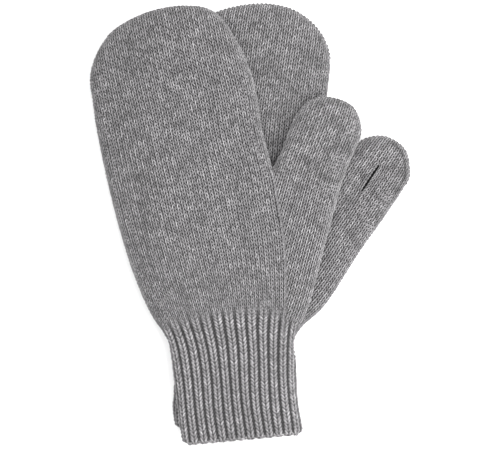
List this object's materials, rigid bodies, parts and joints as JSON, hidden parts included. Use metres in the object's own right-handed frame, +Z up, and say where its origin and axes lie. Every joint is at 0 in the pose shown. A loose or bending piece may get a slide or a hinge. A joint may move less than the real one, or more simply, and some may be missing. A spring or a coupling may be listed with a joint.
{
  "type": "pair of knitted mittens",
  "caption": "Pair of grey melange knitted mittens with ribbed cuffs and a slit in the thumb, lying flat and fanned, the left-hand one on the right-hand one.",
  "frame": {"origin": "centre of the pair's footprint, on the surface that it lies on", "axes": "+Z up, +Y from the cuffs to the finger tips, +X to the side of the thumbs"},
  "size_m": [0.2021, 0.2796, 0.0227],
  "materials": {
    "wool_knit": "matte",
    "linking_yarn": "matte"
  },
  "bodies": {
    "left_hand": {"left_hand_back": "wool_knit", "left_hand_palm": "wool_knit", "left_gusset_back": "wool_knit", "left_gusset_palm": "wool_knit", "left_crotch_stitches": "linking_yarn"},
    "left_fingers": {"left_finger_back": "wool_knit", "left_finger_palm": "wool_knit", "left_finger_tip_seam": "linking_yarn"},
    "left_thumb": {"left_thumb_back": "wool_knit", "left_thumb_palm": "wool_knit", "left_thumb_tip_seam": "linking_yarn", "left_slit_edging": "linking_yarn"},
    "left_cuff": {"left_cuff_back": "wool_knit", "left_cuff_palm": "wool_knit", "left_cuff_hem": "linking_yarn"},
    "right_hand": {"right_hand_back": "wool_knit", "right_hand_palm": "wool_knit", "right_gusset_back": "wool_knit", "right_gusset_palm": "wool_knit", "right_crotch_stitches": "linking_yarn"},
    "right_fingers": {"right_finger_back": "wool_knit", "right_finger_palm": "wool_knit", "right_finger_tip_seam": "linking_yarn"},
    "right_thumb": {"right_thumb_back": "wool_knit", "right_thumb_palm": "wool_knit", "right_thumb_tip_seam": "linking_yarn", "right_slit_edging": "linking_yarn"},
    "right_cuff": {"right_cuff_back": "wool_knit", "right_cuff_palm": "wool_knit", "right_cuff_hem": "linking_yarn"}
  },
  "joints": [
    {"name": "left_lift", "type": "slide", "parent": "right_hand", "child": "left_hand", "axis": [0, 0, 1], "range_m": [0, 0.08]},
    {"name": "left_finger_fold", "type": "hinge", "parent": "left_hand", "child": "left_fingers", "pos_m": [0, 0.0865, 0.0232], "axis": [0.9979, 0.0649, 0], "range_deg": [0, 60]},
    {"name": "left_cuff_fold", "type": "hinge", "parent": "left_hand", "child": "left_cuff", "pos_m": [0, -0.0722, 0.0232], "axis": [-0.9996, -0.03, 0], "range_deg": [0, 60]},
    {"name": "right_finger_fold", "type": "hinge", "parent": "right_hand", "child": "right_fingers", "pos_m": [0, 0.0865, 0.0232], "axis": [0.9979, 0.0649, 0], "range_deg": [0, 60]},
    {"name": "right_cuff_fold", "type": "hinge", "parent": "right_hand", "child": "right_cuff", "pos_m": [0, -0.0722, 0.0232], "axis": [-0.9996, -0.03, 0], "range_deg": [0, 60]},
    {"name": "left_thumb_swing", "type": "hinge", "parent": "left_hand", "child": "left_thumb", "pos_m": [0.0139, 0.035, 0.0171], "axis": [0, 0, 1], "range_deg": [0, 12]},
    {"name": "right_thumb_swing", "type": "hinge", "parent": "right_hand", "child": "right_thumb", "pos_m": [0.043, 0.02, 0.0056], "axis": [0, 0, 1], "range_deg": [0, 12]}
  ],
  "couplings": [
    {"joint": "right_finger_fold", "follows": "left_finger_fold", "ratio": 1},
    {"joint": "right_cuff_fold", "follows": "left_cuff_fold", "ratio": 1}
  ]
}
